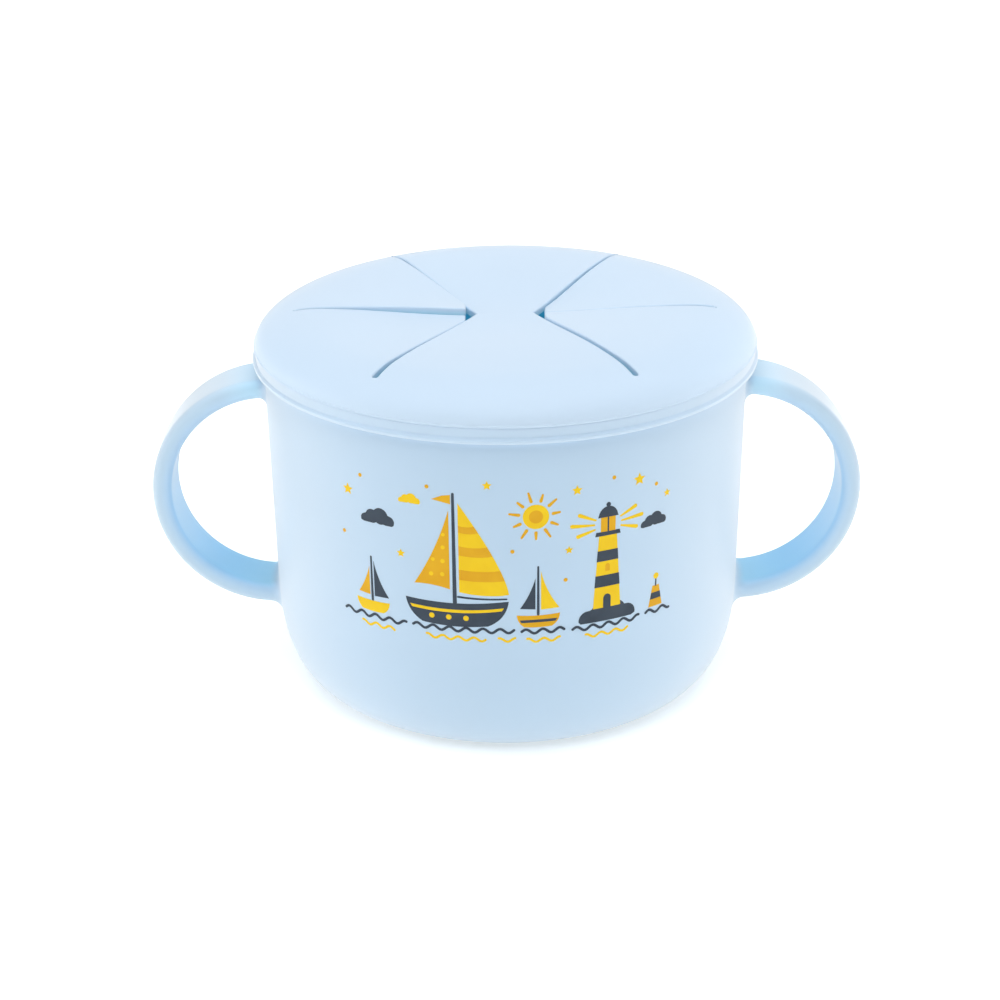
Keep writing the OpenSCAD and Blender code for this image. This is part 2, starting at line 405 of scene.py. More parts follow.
# the handle is one moulding with the cup; its base is a slightly lighter copy of the cup's tone, painted light from the
# floor, and the deep colours below add painted shade and light on its inner face
HANDLE = moulded("handle_satin", *tone((0.512, 0.684, 0.840)), 0.42, 2600.0, spec=0.50, sheen=0.9, bump=0.05,
                 inner_painted_shade=((0.155, 0.580, 0.905, 1.0), (0.345, 0.765, 1.0, 1.0)))
RING = moulded("ring_satin", *tone((0.556, 0.722, 0.898)), 0.40, 2600.0, spec=0.60, sheen=0.9, bump=0.04)
# its slit walls take painted shade (the cut colour) and a faint painted glow
SOFT = moulded("soft_matte", *tone((0.626, 0.770, 0.930), 0.015), 0.55, 1800.0, spec=0.55, sheen=0.8,
               sheen_rough=0.3, bump=0.06, cut=(0.400, 0.670, 0.850, 1.0))


def ink(name, a, b, rough=0.36):
    return moulded(name, a, b, rough, 3200.0, spec=0.3, bump=0.03, tone_scale=220.0)


YELLOW = ink("ink_yellow", srgb(243, 200, 0), srgb(247, 207, 6))
ORANGE = ink("ink_orange", srgb(226, 166, 0), srgb(231, 175, 6))
CHAR = ink("ink_charcoal", srgb(48, 61, 76), srgb(57, 70, 85))

# ------------------------------------------------------------------ mesh helpers


def link(name, v, faces, mats, sharp=None, normals=None, fix=True, face_mat=None):
    """A closed mesh from points in mm. normals: one (or zero) vector for each corner of each face; not used."""
    me = bpy.data.meshes.new(name)
    me.from_pydata([tuple(float(c) * MM for c in p) for p in v], [], faces)
    for m in (mats if isinstance(mats, (list, tuple)) else [mats]):
        me.materials.append(m)
    if fix:
        bm = bmesh.new()
        bm.from_mesh(me)
        bmesh.ops.recalc_face_normals(bm, faces=bm.faces)
        bm.to_mesh(me)
        bm.free()
    me.shade_smooth()
    if sharp is not None:
        me.set_sharp_from_angle(angle=math.radians(sharp))
    if face_mat is not None:
        me.polygons.foreach_set("material_index", face_mat)
    me.update()
    o = bpy.data.objects.new(name, me)
    scene.collection.objects.link(o)
    return o


def rounded(pts, seg=6):
    """A closed outline of (r, z[, radius]) points with its corners rounded by arcs."""
    n = len(pts)
    out = []
    for i, p in enumerate(pts):
        rad = p[2] if len(p) > 2 else 0.0
        b = np.array(p[:2], float)
        if rad <= 0:
            out.append(tuple(b))
            continue
        a = np.array(pts[i - 1][:2], float)
        c = np.array(pts[(i + 1) % n][:2], float)
        u, w = (a - b) / np.linalg.norm(a - b), (c - b) / np.linalg.norm(c - b)
        cosang = float(np.clip(u @ w, -1, 1))
        half = math.acos(cosang) / 2
        t = min(rad / math.tan(half), 0.499 * np.linalg.norm(a - b), 0.499 * np.linalg.norm(c - b))
        rr = t * math.tan(half)
        centre = b + (u + w) / np.linalg.norm(u + w) * rr / math.sin(half)
        p0, p1 = b + u * t, b + w * t
        a0 = math.atan2(*(p0 - centre)[::-1])
        a1 = math.atan2(*(p1 - centre)[::-1])
        d = (a1 - a0 + math.pi) % (2 * math.pi) - math.pi
        for k in range(seg + 1):
            a = a0 + d * k / seg
            out.append((centre[0] + rr * math.cos(a), centre[1] + rr * math.sin(a)))
    return out


def dense(pts, step):
    """Adds points along long straight stretches of an open or closed outline."""
    out = []
    n = len(pts)
    for i in range(n):
        a, b = np.array(pts[i]), np.array(pts[(i + 1) % n])
        k = max(1, int(math.ceil(np.linalg.norm(b - a) / step)))
        for j in range(k):
            out.append(tuple(a + (b - a) * j / k))
    return out


def revolve(name, prof, mat, n=256, sharp=40, which=None):
    """Turns a closed outline round the axis. which: outline segment -> material number."""
    v, rows, f, fm = [], [], [], []
    for r, z in prof:
        if r < 1e-6:
            rows.append([len(v)])
            v.append((0, 0, z))
        else:
            base = len(v)
            rows.append(list(range(base, base + n)))
            v += [(r * math.cos(2 * math.pi * k / n), r * math.sin(2 * math.pi * k / n), z) for k in range(n)]
    m = len(prof)
    for i in range(m):
        a, b = rows[i], rows[(i + 1) % m]
        if len(a) == 1 and len(b) == 1:
            continue
        for k in range(n):
            l = (k + 1) % n
            if len(a) == 1:
                f.append((a[0], b[k], b[l]))
            elif len(b) == 1:
                f.append((a[k], b[0], a[l]))
            else:
                f.append((a[k], b[k], b[l], a[l]))
        fm += [which(i) if which else 0] * (len(f) - len(fm))
    return link(name, v, f, mat, sharp=sharp, face_mat=fm)


# ------------------------------------------------------------------ cup
def make_cup():
    low = []
    k = 40
    for i in range(k + 1):
        z = CORNER_H * (1 - math.cos(math.pi / 2 * i / k))
        low.append((cup_r(z), z))
    wall = [(cup_r(z), z) for z in np.linspace(CORNER_H, WALL_H - 0.8, 14)[1:]]
    rim = rounded([(cup_r(WALL_H - 0.8), WALL_H - 0.8), (WALL_R - 0.01, WALL_H - 0.1, 0.3), (RIM_R, WALL_H - 0.1, 0.15),
                   (RIM_R, WALL_H + 2.2, 0.3), (RIM_R + BEAD, WALL_H + 2.65, 0.25), (RIM_R + BEAD, WALL_H + 3.1, 0.25),
                   (RIM_R, WALL_H + 3.6, 0.3), (RIM_R, WALL_H + RIM_H, 0.55), (MOUTH_R, WALL_H + RIM_H, 0.55),
                   (MOUTH_R - 0.1, WALL_H - 2)], seg=5)[1:-1]
    inner_r, inner_base = MOUTH_R - 0.7, BASE_R - 2
    inside = [(MOUTH_R - 0.7 * (1 - t), CORNER_H + (WALL_H - CORNER_H) * t) for t in np.linspace(0.97, 0.04, 12)]
    hc = CORNER_H - WALL_T
    for i in range(k, -1, -1):
        z = hc * (1 - math.cos(math.pi / 2 * i / k))
        inside.append((inner_base + (inner_r - inner_base) * corner(1 - z / hc, CORNER_N), WALL_T + z))
    inside += [(r, WALL_T) for r in (24.0, 16.0, 8.0, 3.0)]
    under = rounded([(0, 0.8), (1.3, 0.8), (1.5, 0.5, 0.15), (2.3, 0.5, 0.15), (2.5, 0.8), (12, 0.8), (BASE_R - 6.5, 0.8, 0.5),
                     (BASE_R - 5.5, 0.0, 0.5), (BASE_R - 1, 0.0)], seg=4)
    prof = [(0, 0.5)] + under[1:-1] + [(BASE_R - 3.5, 0.0), (BASE_R - 1.5, 0.0)] + low + wall + rim + inside + [(0, WALL_T)]
    prof[0] = (0, 0.8)
    first = len(prof) - len(inside) - 1
    o = revolve("cup_wall", prof, [CUP, INSIDE], n=288, sharp=50, which=lambda i: int(i >= first))
    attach(o, "cup")
    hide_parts("cup_shell")
    return o


make_cup()


# ------------------------------------------------------------------ printed scene on the front wall
INK_BACK = -0.04


def arc_pts(cx, cz, rx, rz, a0, a1, n):
    return [(cx + rx * math.cos(math.radians(a0 + (a1 - a0) * i / n)), cz + rz * math.sin(math.radians(a0 + (a1 - a0) * i / n)))
            for i in range(n + 1)]


def disc(cx, cz, r, n=28):
    return arc_pts(cx, cz, r, r, 0, 360, n)[:-1]


def star(cx, cz, r, inner=0.5, k=5, turn=90):
    out = []
    for i in range(2 * k):
        a = math.radians(turn + 180.0 * i / k)
        q = r if i % 2 == 0 else r * inner
        out.append((cx + q * math.cos(a), cz + q * math.sin(a)))
    return out


def stroke(pts, w, w_end=None):
    """A line of width w (running to w_end) with round ends."""
    p = np.array(pts, float)
    n = len(p)
    w_end = w if w_end is None else w_end
    d = np.gradient(p, axis=0)
    d /= np.linalg.norm(d, axis=1)[:, None]
    nrm = np.stack([-d[:, 1], d[:, 0]], 1)
    hw = np.linspace(w / 2, w_end / 2, n)[:, None]
    left, right = p + nrm * hw, p - nrm * hw

    def cap(c, r, a_mid):
        return [(c[0] + r * math.cos(a_mid + t), c[1] + r * math.sin(a_mid + t)) for t in np.linspace(-math.pi / 2, math.pi / 2, 8)[1:-1]]
    a_e, a_s = math.atan2(d[-1, 1], d[-1, 0]), math.atan2(-d[0, 1], -d[0, 0])
    return [tuple(q) for q in right] + cap(p[-1], hw[-1, 0], a_e) + [tuple(q) for q in left[::-1]] + cap(p[0], hw[0, 0], a_s)


def curve(a, b, bow, n=12):
    """Points from a to b along a shallow arc, bowed to the left by bow mm."""
    a, b = np.array(a, float), np.array(b, float)
    d = b - a
    nrm = np.array([-d[1], d[0]]) / np.linalg.norm(d)
    return [tuple(a + d * t + nrm * bow * 4 * t * (1 - t)) for t in np.linspace(0, 1, n + 1)]


def lobes(circles, cx, cz, floor_z, n=72):
    """Outline of several overlapping discs seen from a middle point, cut flat below."""
    out = []
    for i in range(n):
        a = 2 * math.pi * i / n
        d = np.array([math.cos(a), math.sin(a)])
        best = 0.0
        for x, z, r in circles:
            m = np.array([x - cx, z - cz])
            b = m @ d
            disc_ = b * b - (m @ m - r * r)
            if disc_ > 0:
                best = max(best, b + math.sqrt(disc_))
        if d[1] < 0:
            best = min(best, (cz - floor_z) / -d[1])
        out.append((cx + best * d[0], cz + best * d[1]))
    return out


def wave(u0, u1, z, amp, length, w, phase=0.0):
    n = max(8, int((u1 - u0) / 0.3))
    return stroke([(u, z + amp * math.sin(2 * math.pi * (u - u0) / length + phase)) for u in np.linspace(u0, u1, n)], w)


ART = []          # outline, layer, ink


def art(ink_name, layer, outline):
    ART.append((ink_name, layer, outline))


def sail_band(mast, foot, head, out, power, z0, z1, n=10):
    """A band across a sail whose outer edge leans in from out at foot to the mast at head."""
    def edge(z):
        return mast + (out - mast) * max(0.0, 1 - ((z - foot) / (head - foot)) ** power)
    return [(mast, z0)] + [(edge(z), z) for z in np.linspace(z0, z1, n)] + [(mast, z1)]


def big_boat(u, z):
    hull = curve((u - 9.4, z + 5.0), (u + 9.8, z + 5.5), -0.45, 14) + curve((u + 9.8, z + 5.5), (u + 6.0, z + 0.5), 0.9, 10)[1:] \
        + curve((u + 6.0, z + 0.5), (u - 6.2, z + 0.5), 0.35, 10)[1:] + curve((u - 6.2, z + 0.5), (u - 9.4, z + 5.0), 0.7, 8)[1:-1]
    art("char", 0, hull)
    art("yellow", 1, curve((u - 8.55, z + 3.75), (u + 8.9, z + 4.2), -0.45, 14) + curve((u + 8.55, z + 3.6), (u - 8.2, z + 3.15), 0.45, 14))
    for du in (-4.4, -1.2, 2.0):
        art("yellow", 1, disc(u + du, z + 1.95, 0.52, 18))
    art("char", 0, stroke([(u + 0.0, z + 4.9), (u, z + 26.2)], 0.75, 0.5))
    sail = [(u + 0.85, z + 6.9)] + [(u + 0.85 + 9.0 * (1 - (t ** 1.35)), z + 6.9 + 17.6 * t) for t in np.linspace(0, 1, 18)]
    art("yellow", 0, curve((u + 0.85, z + 7.1), (u + 9.85, z + 6.8), -0.35, 8)[:-1] + sail[1:])

    def band(z0, z1):
        f = lambda zz: u + 0.85 + 9.0 * (1 - max(0.0, (zz - z - 6.9) / 17.6) ** 1.35)
        low = [(u + 0.85 + (f(z0) - u - 0.85) * t, z0 - 0.25 * 4 * t * (1 - t)) for t in np.linspace(0, 1, 8)]
        high = [(u + 0.85 + (f(z1) - u - 0.85) * t, z1 - 0.25 * 4 * t * (1 - t)) for t in np.linspace(1, 0, 8)]
        return low + high
    art("orange", 1, band(z + 9.6, z + 11.6))
    art("orange", 1, band(z + 14.4, z + 16.2))
    art("orange", 1, band(z + 18.9, z + 20.2))
    jib = curve((u - 0.85, z + 23.0), (u - 7.6, z + 8.0), 0.6, 12) + curve((u - 7.6, z + 8.0), (u - 0.85, z + 7.5), 0.35, 8)[1:]
    art("orange", 0, jib)
    for q, zz, r in ((-2.2, 10.4, .42), (-4.3, 10.3, .42), (-2.1, 13.0, .42), (-3.9, 13.2, .36), (-2.0, 15.7, .4), (-1.9, 18.2, .34)):
        art("yellow", 1, disc(u + q, z + zz, r, 14))
    art("char", 0, stroke(curve((u + 0.6, z + 6.15), (u + 9.4, z + 6.0), -0.15, 6), 0.38, 0.3))
    art("orange", 0, [(u - 0.45, z + 26.0), (u - 2.0, z + 25.75), (u - 3.9, z + 24.9), (u - 2.1, z + 24.55), (u - 0.45, z + 24.2)])


def small_boat(u, z, s, hull_ink, main_ink, jib_ink, band_ink=None):
    hull = curve((u - 3.9 * s, z + 2.7 * s), (u + 4.0 * s, z + 2.8 * s), -0.2 * s, 8) + curve((u + 4.0 * s, z + 2.8 * s), (u + 2.5 * s, z + 0.3), 0.4 * s, 6)[1:] \
        + curve((u + 2.5 * s, z + 0.3), (u - 2.6 * s, z + 0.3), 0.12 * s, 6)[1:] + curve((u - 2.6 * s, z + 0.3), (u - 3.9 * s, z + 2.7 * s), 0.3 * s, 6)[1:-1]
    art(hull_ink, 0, hull)
    if band_ink:
        art(band_ink, 1, [(u - 3.35 * s, z + 1.7 * s), (u + 3.5 * s, z + 1.8 * s), (u + 3.2 * s, z + 1.25 * s), (u - 3.1 * s, z + 1.15 * s)])
    art("char", 0, stroke([(u, z + 2.8 * s), (u, z + 12.2 * s)], 0.5, 0.36))
    art(main_ink, 0, curve((u + 0.5, z + 11.4 * s), (u + 3.9 * s, z + 3.9 * s), -0.45 * s, 10)[::-1] + curve((u + 0.5, z + 11.4 * s), (u + 0.5, z + 3.7 * s), 0, 2)[1:])
    art(jib_ink, 0, curve((u - 0.5, z + 10.0 * s), (u - 3.3 * s, z + 4.0 * s), 0.3 * s, 8) + [(u - 0.5, z + 3.8 * s)])


def lighthouse(u, z):
    art("char", 0, lobes([(u - 3.6, z + 0.6, 1.9), (u - 1.2, z + 1.4, 2.2), (u + 1.6, z + 1.5, 2.3), (u + 4.0, z + 0.7, 1.9)], u, z + 0.9, z))
    base, top, z0, z1 = 2.75, 1.75, z + 3.2, z + 17.0

    def half(zz):
        return base + (top - base) * (zz - z0) / (z1 - z0)
    art("yellow", 1, [(u - half(z0), z0 - 0.5), (u + half(z0), z0 - 0.5), (u + half(z1), z1), (u - half(z1), z1)])
    for a, b in ((z + 6.9, z + 9.2), (z + 12.0, z + 14.1)):
        art("char", 2, [(u - half(a) - 0.02, a), (u + half(a) + 0.02, a), (u + half(b) + 0.02, b), (u - half(b) - 0.02, b)])
    art("char", 2, [(u - 0.75, z0 - 0.5), (u + 0.75, z0 - 0.5)] + arc_pts(u, z + 4.6, 0.75, 0.8, 0, 180, 8))
    art("orange", 2, [(u - 0.45, z + 10.0)] + [(u + 0.45, z + 10.0)] + arc_pts(u, z + 11.0, 0.45, 0.5, 0, 180, 6))
    art("char", 1, [(u - 2.5, z + 17.0), (u + 2.5, z + 17.0), (u + 2.3, z + 17.8), (u - 2.3, z + 17.8)])
    art("orange", 0, [(u - 1.45, z + 17.8), (u + 1.45, z + 17.8), (u + 1.45, z + 20.6), (u - 1.45, z + 20.6)])
    art("char", 1, stroke([(u, z + 17.9), (u, z + 20.5)], 0.3))
    art("char", 1, [(u - 2.0, z + 20.6), (u + 2.0, z + 20.6)] + arc_pts(u, z + 20.6, 1.9, 2.1, 10, 170, 12))
    art("char", 1, disc(u, z + 23.0, 0.45, 14))
    for sx in (-1, 1):
        for a, l in ((-16, 3.3), (4, 4.2), (24, 3.3)):
            c, s = math.cos(math.radians(a)), math.sin(math.radians(a))
            art("yellow", 0, stroke([(u + sx * 2.7 * c, z + 19.2 + 2.7 * s), (u + sx * (2.7 + l) * c, z + 19.2 + (2.7 + l) * s)], 0.35, 0.75))


def sun(u, z):
    art("yellow", 0, disc(u, z, 2.35, 40))
    for i in range(11):
        a = 2 * math.pi * (i + 0.25) / 11
        r1 = 4.75 if i % 2 else 4.3
        art("orange", 0, stroke([(u + 3.1 * math.cos(a), z + 3.1 * math.sin(a)), (u + r1 * math.cos(a), z + r1 * math.sin(a))], 0.62, 0.4))
    art("orange", 1, disc(u, z, 1.25, 32))


def cloud(u, z, s, ink_name):
    art(ink_name, 0, lobes([(u - 2.6 * s, z + 0.8 * s, 1.0 * s), (u - 1.2 * s, z + 1.5 * s, 1.35 * s), (u + 0.6 * s, z + 1.8 * s, 1.6 * s),
                            (u + 2.3 * s, z + 1.0 * s, 1.15 * s)], u, z + 1.0 * s, z + 0.2 * s))


def buoy(u, z):
    art("orange", 0, [(u - 1.6, z + 0.6), (u + 1.6, z + 0.6), (u + 0.75, z + 4.8), (u - 0.75, z + 4.8)])
    art("char", 1, [(u - 1.28, z + 2.1), (u + 1.28, z + 2.1), (u + 1.02, z + 3.4), (u - 1.02, z + 3.4)])
    art("char", 0, stroke([(u, z + 4.7), (u, z + 6.3)], 0.3))
    art("yellow", 1, disc(u, z + 6.7, 0.6, 16))


big_boat(-9.5, 28.2)
small_boat(5.6, 28.2, 1.0, "orange", "yellow", "char", "char")
small_boat(-26.0, 28.3, 0.92, "yellow", "char", "orange", None)
lighthouse(18.6, 28.0)
buoy(29.2, 27.7)
sun(5.2, 50.2)
cloud(-24.2, 46.2, 1.0, "char")
cloud(28.3, 44.6, 0.82, "char")
cloud(-17.6, 51.6, 0.6, "yellow")
for q in ((-30.6, 51.8, 1.15), (-3.4, 56.3, 0.9), (12.6, 54.6, 1.0), (24.8, 54.6, 1.25), (-19.6, 41.6, 0.85), (31.2, 50.4, 0.8), (11.2, 43.2, 0.8)):
    art("yellow", 0, star(*q, inner=0.48))
for q in ((-27.6, 55.2), (-14.2, 55.4), (19.6, 56.0), (28.6, 52.8), (1.0, 43.6), (-32.0, 43.2), (10.6, 37.4)):
    art("orange", 0, disc(q[0], q[1], 0.38, 12))
for a, b, zz in ((-32.5, -19.0, 27.6), (-17.6, 1.2, 27.8), (2.6, 10.4, 27.6), (12.0, 25.4, 27.2), (27.0, 32.6, 27.4)):
    art("char", 1, wave(a, b, zz, 0.42, 3.1, 0.5))
for a, b, zz in ((-28.5, -21.5, 25.9), (-15.0, -4.0, 26.0), (3.6, 9.6, 25.8), (14.5, 23.0, 25.5), (-1.6, 1.4, 26.0)):
    art("yellow", 0, wave(a, b, zz, 0.36, 2.9, 0.45, 1.2))
INKS = {"yellow": YELLOW, "orange": ORANGE, "char": CHAR}
LAYER = (0.030, 0.045, 0.060)


def on_wall(u, z, h):
    r = cup_r(z)
    a = u / 46.0
    return ((r + h) * math.sin(a), -(r + h) * math.cos(a), z)


def make_print():
    for ink_name, mat in INKS.items():
        v, f = [], []
        for name, layer, outline in ART:
            if name != ink_name:
                continue
            pts = [Vector((p[0], p[1], 0)) for p in outline]
            area2 = sum(pts[i].x * pts[(i + 1) % len(pts)].y - pts[(i + 1) % len(pts)].x * pts[i].y for i in range(len(pts)))
            if area2 < 0:
                pts.reverse()
            bm = bmesh.new()
            vs = [bm.verts.new(p) for p in pts]
            for t in tessellate_polygon([pts]):
                try:
                    bm.faces.new([vs[i] for i in t])
                except ValueError:
                    pass
            lo, hi = min(p.x for p in pts), max(p.x for p in pts)
            c = math.floor(lo / 1.25) * 1.25 + 1.25
            while c < hi - 1e-4:
                bmesh.ops.bisect_plane(bm, geom=bm.verts[:] + bm.edges[:] + bm.faces[:], plane_co=(c, 0, 0), plane_no=(1, 0, 0), dist=1e-5)
                c += 1.25
            bmesh.ops.recalc_face_normals(bm, faces=bm.faces)
            bm.verts.index_update()
            base, n = len(v), len(bm.verts)
            up = sum(fc.normal.z for fc in bm.faces) > 0
            flat = [(q.co.x, q.co.y) for q in bm.verts]
            v += [on_wall(a, b, LAYER[layer]) for a, b in flat] + [on_wall(a, b, INK_BACK) for a, b in flat]
            for fc in bm.faces:
                ix = [q.index for q in fc.verts]
                if not up:
                    ix.reverse()
                f.append([base + i for i in ix])
                f.append([base + n + i for i in reversed(ix)])
            for e in bm.edges:
                if len(e.link_faces) == 1:
                    fc = e.link_faces[0]
                    ix = [q.index for q in fc.verts]
                    if not up:
                        ix.reverse()
                    a, b = e.verts[0].index, e.verts[1].index
                    k = ix.index(a)
                    if ix[(k + 1) % len(ix)] != b:
                        a, b = b, a
                    f.append([base + b, base + a, base + n + a, base + n + b])
            bm.free()
        o = link("print_" + ink_name, v, f, mat, sharp=50, fix=False)
        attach(o, "cup")


make_print()

# ------------------------------------------------------------------ handles
def make_handle(name, side):
    # ribbon section: local (radial, across), rounded long edges
    sec = []
    hw, ht = HW / 2, HT / 2
    for c in range(4):
        sx = 1 if c in (0, 3) else -1
        sy = 1 if c < 2 else -1
        for i in range(9):
            a = math.pi / 2 * c + math.pi / 2 * i / 8
            sec.append((sx * (ht - HE) + HE * math.cos(a), sy * (hw - HE) + HE * math.sin(a), math.cos(a), math.sin(a)))
    full = []
    n = len(sec)
    for i in range(n):
        a, b = sec[i], sec[(i + 1) % n]
        d = math.hypot(b[0] - a[0], b[1] - a[1])
        k = max(1, int(round(d / 1.0)))
        for j in range(k):
            t = j / k
            full.append(tuple(a[q] + (b[q] - a[q]) * t for q in range(4)))
    ends = [-0.3, -0.2, -0.1, 0, 0.12, 0.25, 0.4, 0.6, 0.85, 1.15, 1.5, 2.0, 2.6, 3.4, 4.5]   # mm from the wall
    span0, span1 = math.radians(-91.2), math.radians(88.6)
    angs = [span0 - math.radians(1.3)] + [span0 + e / HR for e in ends]
    mid0, mid1 = angs[-1], span1 - ends[-1] / HR
    angs += list(np.linspace(mid0, mid1, 78))[1:-1]
    angs += [span1 - e / HR for e in reversed(ends)] + [span1 + math.radians(1.3)]
    v = []
    for a in angs:
        ca, sa = math.cos(a), math.sin(a)
        top = sa > 0
        for q, y, nr, ny in full:
            rad = HR + q
            p = np.array([HX + rad * ca, y, HZ + rad * sa])
            nrm = np.array([nr * ca, ny, nr * sa])
            # fillet where the ribbon runs into the wall
            outer = max(0.0, nr)
            rf = (2.0 if not top else 1.7) * (1 - outer) + (0.45 if top else 2.0) * outer
            # measured to the wall at the place the fillet carries the point to
            lo, hi = 0.0, rf
            for _ in range(16):
                e = (lo + hi) / 2
                w = p + nrm * e
                d = math.hypot(w[0], w[1]) - cup_r(min(w[2], WALL_H))
                dd = min(max(d, 0.0), rf)
                if e < rf - math.sqrt(max(0.0, rf * rf - (rf - dd) ** 2)):
                    lo = e
                else:
                    hi = e
            p = p + nrm * (lo if lo > 0.0 else 0.0)
            v.append((side * p[0], p[1], p[2]))
    m = len(full)
    f = []
    for i in range(len(angs) - 1):
        for j in range(m):
            l = (j + 1) % m
            f.append((i * m + j, i * m + l, (i + 1) * m + l, (i + 1) * m + j))
    f.append(tuple(range(m)))
    f.append(tuple(range((len(angs) - 1) * m, len(angs) * m)))
    o = link(name + "_ribbon", v, f, HANDLE, sharp=60)
    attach(o, "cup")
    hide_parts(name)
    return o


make_handle("handle_right", 1)
make_handle("handle_left", -1)


# ------------------------------------------------------------------ stiff lid ring
def make_ring():
    z = WALL_H
    prof = rounded([
        (BORE_R, z + 0.0, 0.2), (LIP_R - 0.02, z + 0.0, 0.3), (LIP_R, z + 0.68, 0.3), (LIP_R - 0.6, z + 1.0, 0.25),
        (LIP_R - 0.6, z + BAND_H, 0.12), (BORE_R + 0.55, z + BAND_H), (BORE_R + 0.55, z + BAND_H + 1.8),
        (BORE_R, z + BAND_H + 1.8), (BORE_R, z + 2.0, 0.2), (BORE_R - 0.15, z + 1.6, 0.15),
        (BORE_R - 0.15, z + 1.2, 0.15), (BORE_R, z + 0.8, 0.2)], seg=5)
    o = revolve("ring_band", prof, RING, n=288, sharp=50)
    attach(o, "lid")
    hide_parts("lid_ring")


make_ring()

# ------------------------------------------------------------------ soft top, one piece for each flap
FILLET = 0.34


def smooth01(x):
    x = min(max(x, 0.0), 1.0)
    return x * x * (3 - 2 * x)


def edge_drop(d, rad=FILLET):
    if d >= rad:
        return 0.0
    return rad - math.sqrt(max(0.0, rad ** 2 - (rad - d) ** 2))


def slit_gap(l, total, w_tip, w_mid, w_end):
    """Half width of a slit, l mm in from its closed end."""
    t = l / total
    w = w_tip + (w_mid - w_tip) * smooth01(t / 0.45) if t < 0.45 else w_mid + (w_end - w_mid) * smooth01((t - 0.45) / 0.55)
    if l < w_tip:
        w = min(w, math.sqrt(max(0.0, w_tip ** 2 - (w_tip - l) ** 2)))
    return w


